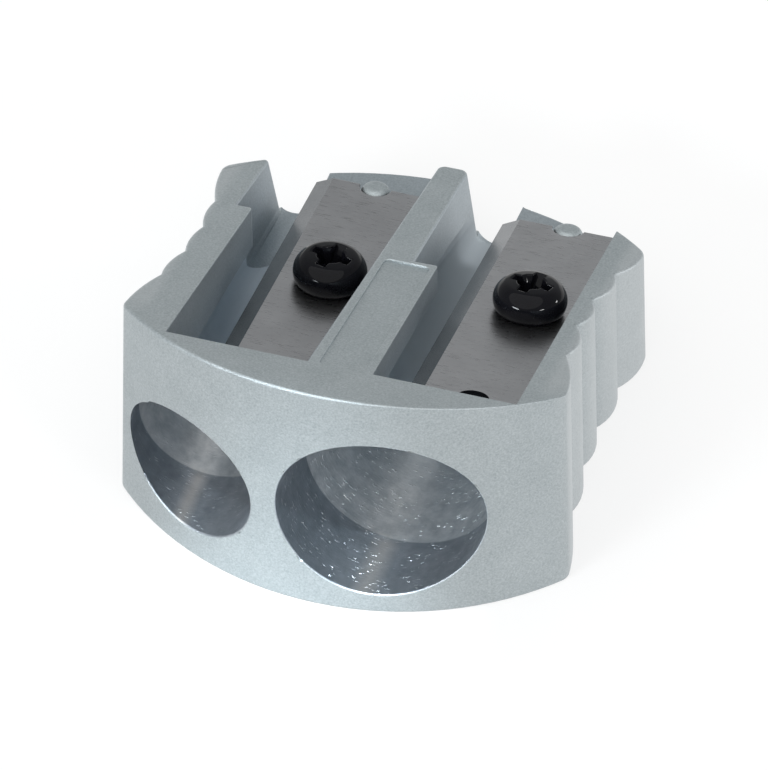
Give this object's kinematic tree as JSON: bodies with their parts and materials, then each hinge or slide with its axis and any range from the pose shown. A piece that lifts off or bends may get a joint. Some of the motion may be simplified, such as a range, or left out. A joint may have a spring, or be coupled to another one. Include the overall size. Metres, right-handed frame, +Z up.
{
  "type": "pencil sharpener",
  "caption": "Hand-held wedge pencil sharpener: a cast metal body with fluted finger grips, a small and a large pencil hole, and a steel blade screwed down over each.",
  "frame": {"origin": "middle of the foot: centre of the bounding box at its bottom", "axes": "+X to the right seen from the holes, +Y from the holes to the back, +Z up"},
  "size_m": [0.025, 0.0276, 0.0156],
  "materials": {
    "casting": "as-cast, fine satin grain",
    "blade_steel": "ground, matt",
    "black_screw": "black, glossy"
  },
  "bodies": {
    "sharpener": {"body": "casting", "small_blade": "blade_steel", "large_blade": "blade_steel"},
    "small_screw": {"small_blade_screw": "black_screw"},
    "large_screw": {"large_blade_screw": "black_screw"}
  },
  "joints": [
    {"name": "small_screw_turn", "type": "hinge", "parent": "sharpener", "child": "small_screw", "pos_m": [-0.00379, 0.00172, 0.00757], "axis": [0.0029, 0.2062, 0.9785], "range_deg": [0, 1080]},
    {"name": "large_screw_turn", "type": "hinge", "parent": "sharpener", "child": "large_screw", "pos_m": [0.00733, 0.00172, 0.00849], "axis": [-0.0043, 0.309, 0.9511], "range_deg": [0, 1080]}
  ]
}
